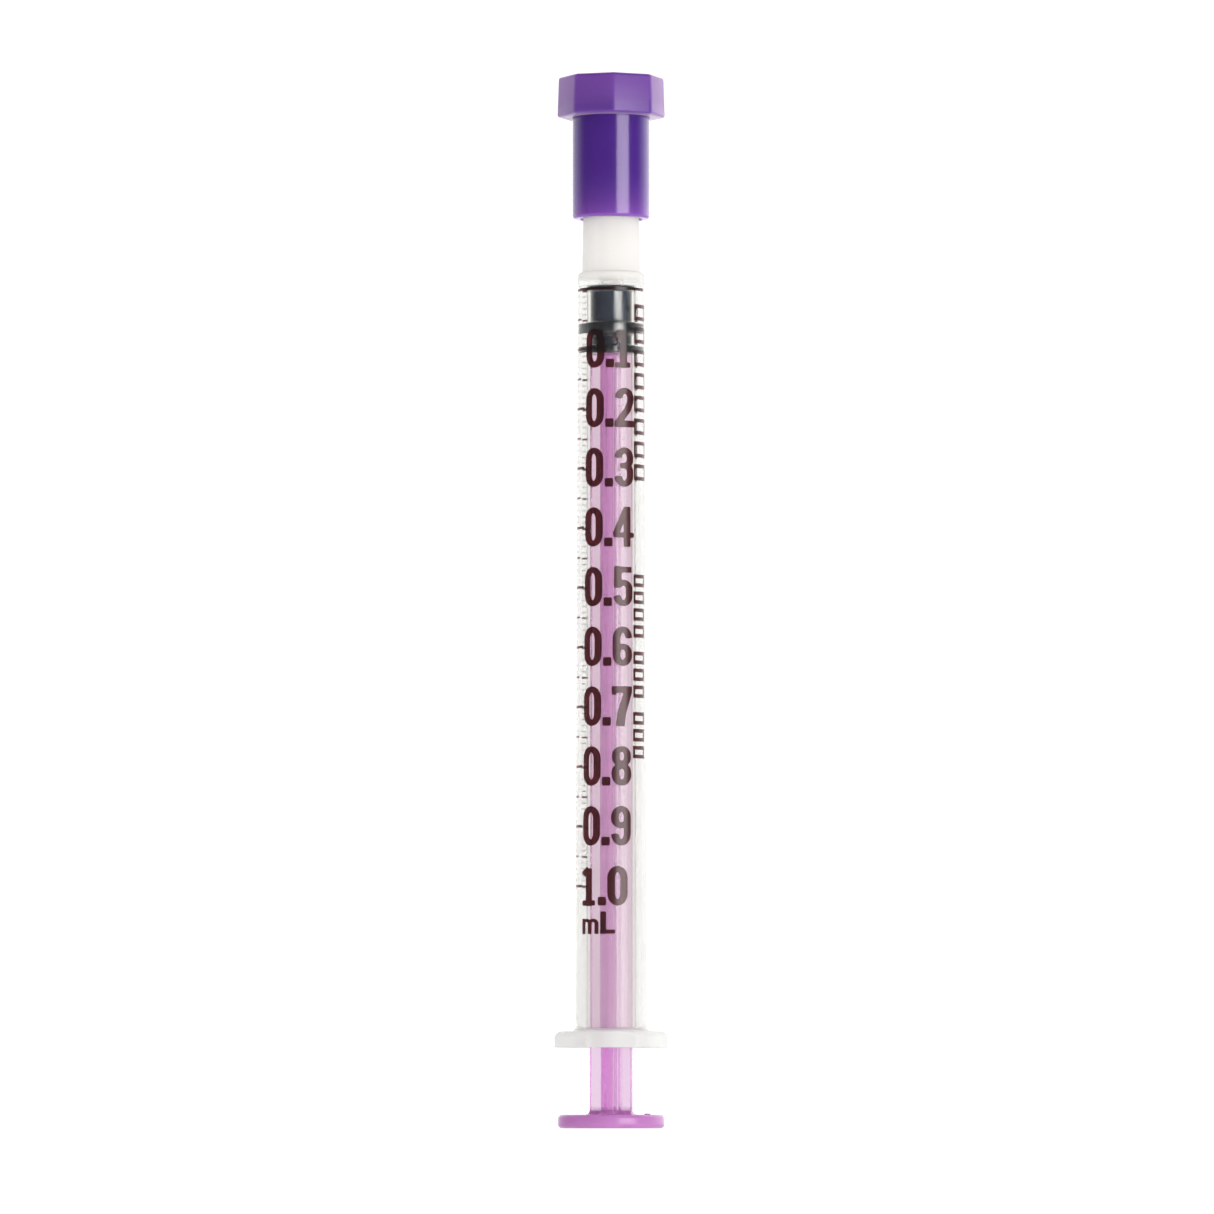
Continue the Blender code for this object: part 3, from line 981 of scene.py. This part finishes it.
def pink_plastic():
    """Tinted polypropylene that light passes through: thin ribs look pale and thick ones deep.

    The thumb disc, the thickest part, is cloudy.
    """
    disc_cloud = 0.80
    shaft_cloud = 0.02
    cloud_low = DISC_THICKNESS - 0.2 * MM
    cloud_high = DISC_THICKNESS + 0.9 * MM
    share_through = 0.30

    nodes = Material("pink_polypropylene")
    clouding = nodes.ramp(nodes.height(), cloud_low, cloud_high, disc_cloud, shaft_cloud)
    grain = nodes.noise(900.0, stretch=(1.0, 1.0, 0.15))
    clear = nodes.principled(
        Base_Color=(0.99, 0.99, 0.97),
        Roughness=0.24,
        IOR=1.49,
        Specular_Tint=(0.60, 0.60, 0.60),
        Transmission_Weight=1.0,
        Normal=nodes.bump(grain, 0.04, 0.02 * MM),
    )
    swirl = nodes.noise(700.0, detail=3.0)
    cloud_front = nodes.surface(
        "Principled",
        Base_Color=nodes.mix_colour(swirl, (0.44, 0.185, 0.45), (0.57, 0.270, 0.58)),
        Roughness=0.24,
        IOR=1.49,
        Normal=nodes.bump(nodes.noise(1500.0, detail=3.0), 0.35, 0.05 * MM),
    )
    cloud_through = nodes.surface("Translucent", Color=(0.90, 0.42, 0.84))
    cloud = nodes.mix_shader(share_through, cloud_front, cloud_through)
    tint = {"Color": (0.733, 0.067, 0.707), "Density": 322.0}
    absorbed = nodes.add("ShaderNodeVolumeAbsorption", tint).outputs["Volume"]
    nodes.feed(nodes.output.inputs["Volume"], absorbed)
    return nodes.finish(nodes.mix_shader(clouding, clear, cloud))


def purple_plastic():
    """Deep purple polyethylene: glossy and dark on the skirt, paler where light gets through it.

    That is the hollow upper part of the head, but not its top edge, and the rim round the mouth.
    There the paleness is painted glow, and the top edge gets a painted dark shade line.
    """
    step = 0.1 * MM  # how sharply the skirt's look gives way to the head's
    hollow_start = 2.2 * MM  # how far up the head it is hollow enough to glow
    # The head's top edge gets a painted dark shade line between these two heights.
    edge_shade_low = CAP_TOP - 0.40 * MM
    edge_shade_high = CAP_TOP - 0.10 * MM
    # The skirt's painted glow, which fades up from the mouth.
    glow_reach = 6.5 * MM
    glow_fall = 3.2
    head_share_through = 0.22

    nodes = Material("purple_polyethylene")
    cloud = nodes.noise(350.0, detail=3.0)
    height = nodes.height()
    thin = nodes.ramp(height, CAP_HEAD_BOTTOM - step, CAP_HEAD_BOTTOM + hollow_start, 0.0, 1.0)
    head = nodes.ramp(height, CAP_HEAD_BOTTOM - step, CAP_HEAD_BOTTOM + step, 0.0, 1.0)
    # Painted glow: the skirt's colour pales towards the mouth, where light gets through the thin
    # rim.
    near_mouth = nodes.ramp(height, CAP_MOUTH + glow_reach, CAP_MOUTH, 0.0, 1.0, "LINEAR")
    glow = nodes.maths("POWER", near_mouth, glow_fall)
    skirt = nodes.mix_colour(cloud, (0.052, 0.0145, 0.168), (0.060, 0.0175, 0.188))
    skirt_painted_glow = nodes.mix_colour(glow, skirt, (0.165, 0.062, 0.305))
    # Painted glow: the hollow upper head is paler than its solid lower part, except along the top
    # edge's painted shade.
    low_head = nodes.mix_colour(cloud, (0.070, 0.020, 0.180), (0.085, 0.026, 0.215))
    head_painted_glow = nodes.mix_colour(cloud, (0.120, 0.042, 0.265), (0.155, 0.062, 0.320))
    below_edge_shade = nodes.ramp(height, edge_shade_low, edge_shade_high, 1.0, 0.0)
    lit_head = nodes.mix_colour(nodes.maths("MULTIPLY", thin, below_edge_shade), low_head, head_painted_glow)
    grain = nodes.noise(2500.0, detail=3.0)
    solid = nodes.principled(
        Base_Color=nodes.mix_colour(head, skirt_painted_glow, lit_head),
        Roughness=nodes.ramp(head, 0.0, 1.0, 0.17, 0.34),
        IOR=1.52,
        Specular_Tint=(1.0, 0.87, 0.98),
        Normal=nodes.bump(grain, 0.10, 0.01 * MM),
        Subsurface_Weight=1.0,
        Subsurface_Radius=(1.0, 0.40, 1.0),
        Subsurface_Scale=1.6 * MM,
        Sheen_Weight=nodes.ramp(head, 0.0, 1.0, 0.0, 0.8),
        Sheen_Roughness=0.40,
        Sheen_Tint=(1.0, 0.72, 0.92),
    )
    through = nodes.surface("Translucent", Color=(0.85, 0.50, 0.90))
    share_through = nodes.ramp(thin, 0.0, 1.0, 0.0, head_share_through)
    return nodes.finish(nodes.mix_shader(share_through, solid, through))


def dark_rubber():
    """Dark slate rubber with a film of silicone oil, darkest where the ribs press on the bore."""
    nodes = Material("dark_rubber")
    grain = nodes.noise(1800.0, detail=4.0)
    # The ribs are painted darker than the waist: painted shade where they press on the bore.
    waist = nodes.mix_colour(grain, (0.020, 0.029, 0.056), (0.031, 0.044, 0.080))
    rib = nodes.ramp(nodes.radius(), WAIST_RADIUS, RIB_RADIUS, 0.0, 1.0)
    oiled = nodes.principled(
        Base_Color=nodes.mix_colour(rib, waist, (0.009, 0.013, 0.021)),
        Roughness=nodes.ramp(grain, 0.3, 0.7, 0.18, 0.26),
        IOR=1.58,
        Normal=nodes.bump(grain, 0.15, 0.01 * MM),
        Coat_Weight=1.0,
        Coat_Roughness=0.20,
    )
    return nodes.finish(oiled)


def print_ink():
    """Brown-black screen ink, a little uneven, thin enough to let some warm light through."""
    share_through = 0.32
    nodes = Material("print_ink")
    speckle = nodes.noise(5000.0, detail=3.0)
    solid = nodes.principled(
        Base_Color=nodes.mix_colour(speckle, (0.010, 0.007, 0.008), (0.016, 0.010, 0.011)),
        Roughness=0.24,
        IOR=1.48,
        Normal=nodes.bump(speckle, 0.12, 0.006 * MM),
    )
    through = nodes.surface("Transparent", Color=(0.90, 0.36, 0.40))
    return nodes.finish(nodes.mix_shader(share_through, solid, through))


# ---------------------------------------------------------------- studio


def make_surround():
    """White light from all round: bright behind the syringe, dim for what gloss sees in front."""
    world = bpy.data.worlds.new("white studio")
    bpy.context.scene.world = world
    world.use_nodes = True
    world.cycles.sampling_method = "NONE"
    nodes = Nodes(world.node_tree)
    direction = nodes.add("ShaderNodeTexCoord").outputs["Generated"]
    along = nodes.add("ShaderNodeSeparateXYZ", {"Vector": direction}).outputs
    behind = nodes.ramp(along["Y"], SCREEN_START, SCREEN_FULL, 0.0, 1.0)
    screen = nodes.ramp(along["X"], -SCREEN_TURN, SCREEN_TURN, LEFT_SCREEN, RIGHT_SCREEN)
    strength = nodes.mix_value(behind, ROOM, screen)
    through = nodes.mix_value(behind, ROOM, BACK_LIGHT)
    path = nodes.add("ShaderNodeLightPath").outputs
    strength = nodes.mix_value(path["Is Transmission Ray"], strength, through)
    fill = nodes.ramp(along["Z"], 0.0, 1.0, FILL_LIGHT, CEILING)
    strength = nodes.mix_value(path["Is Diffuse Ray"], strength, fill)
    strength = nodes.mix_value(path["Is Camera Ray"], strength, BACKDROP)
    background = nodes.tree.nodes["Background"]
    nodes.feed(background.inputs["Strength"], strength)
    nodes.feed(background.inputs["Color"], WHITE)


def make_floor():
    bpy.ops.mesh.primitive_circle_add(vertices=96, radius=FLOOR_RADIUS, fill_type="NGON")
    floor = bpy.context.object
    floor.name = "studio_floor"
    floor.location.z = FLOOR_LEVEL
    nodes = Material("white_floor")
    nodes.principled(
        Base_Color=(0.20, 0.20, 0.20),
        Roughness=0.9,
        Emission_Color=WHITE,
        Emission_Strength=FLOOR_GLOW,
    )
    floor.data.materials.append(nodes.material)


def make_softbox():
    """One softbox in front of the syringe and to its right."""
    lamp = bpy.data.lights.new("softbox", "AREA")
    lamp.shape = "RECTANGLE"
    lamp.size, lamp.size_y = SOFTBOX_SIZE
    lamp.energy = SOFTBOX_POWER
    softbox = bpy.data.objects.new("softbox", lamp)
    bpy.context.scene.collection.objects.link(softbox)
    softbox.location = (
        SOFTBOX_DISTANCE * math.sin(SOFTBOX_AZIMUTH),
        -SOFTBOX_DISTANCE * math.cos(SOFTBOX_AZIMUTH),
        SOFTBOX_HEIGHT,
    )
    aim(softbox, (0.0, 0.0, SOFTBOX_HEIGHT))


def make_camera():
    """A long lens just above the thumb disc, so that the cap is seen slightly from below."""
    lens = bpy.data.cameras.new("camera")
    lens.sensor_width = SENSOR
    lens.lens = SENSOR * CAMERA_DISTANCE / VIEW_HEIGHT
    lens.clip_start = CAMERA_CLIP
    camera = bpy.data.objects.new("camera", lens)
    bpy.context.scene.collection.objects.link(camera)
    camera.location = (VIEW_CENTRE[0], -CAMERA_DISTANCE, CAMERA_HEIGHT)
    aim(camera, VIEW_CENTRE)
    bpy.context.scene.camera = camera


def aim(thing, target):
    """Turns a lamp or camera towards a point."""
    towards = Vector(target) - thing.location
    thing.rotation_euler = towards.to_track_quat("-Z", "Y").to_euler()


# ---------------------------------------------------------------- assembly


def place_piece(piece, body, material, replaced=None):
    """Gives a piece its material and the body it rides on, and hides the part it replaces, where
    there is one.
    """
    piece.data.materials.clear()
    piece.data.materials.append(material)
    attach(piece, body)
    if replaced:
        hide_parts(replaced)


bpy.context.scene.view_settings.view_transform = "Standard"
make_camera()
make_surround()
make_floor()
make_softbox()
place_piece(make_barrel(), "barrel", clear_plastic(), "barrel")
place_piece(make_stopper(), "stopper", dark_rubber(), "stopper")
place_piece(make_rod(), "plunger_rod", pink_plastic(), "plunger_rod")
place_piece(make_cap(), "tip_cap", purple_plastic(), "tip_cap")
ink = print_ink()
for print_piece in (make_numerals(), make_unit(), make_ticks(), make_side_print()):
    place_piece(print_piece, "barrel", ink)
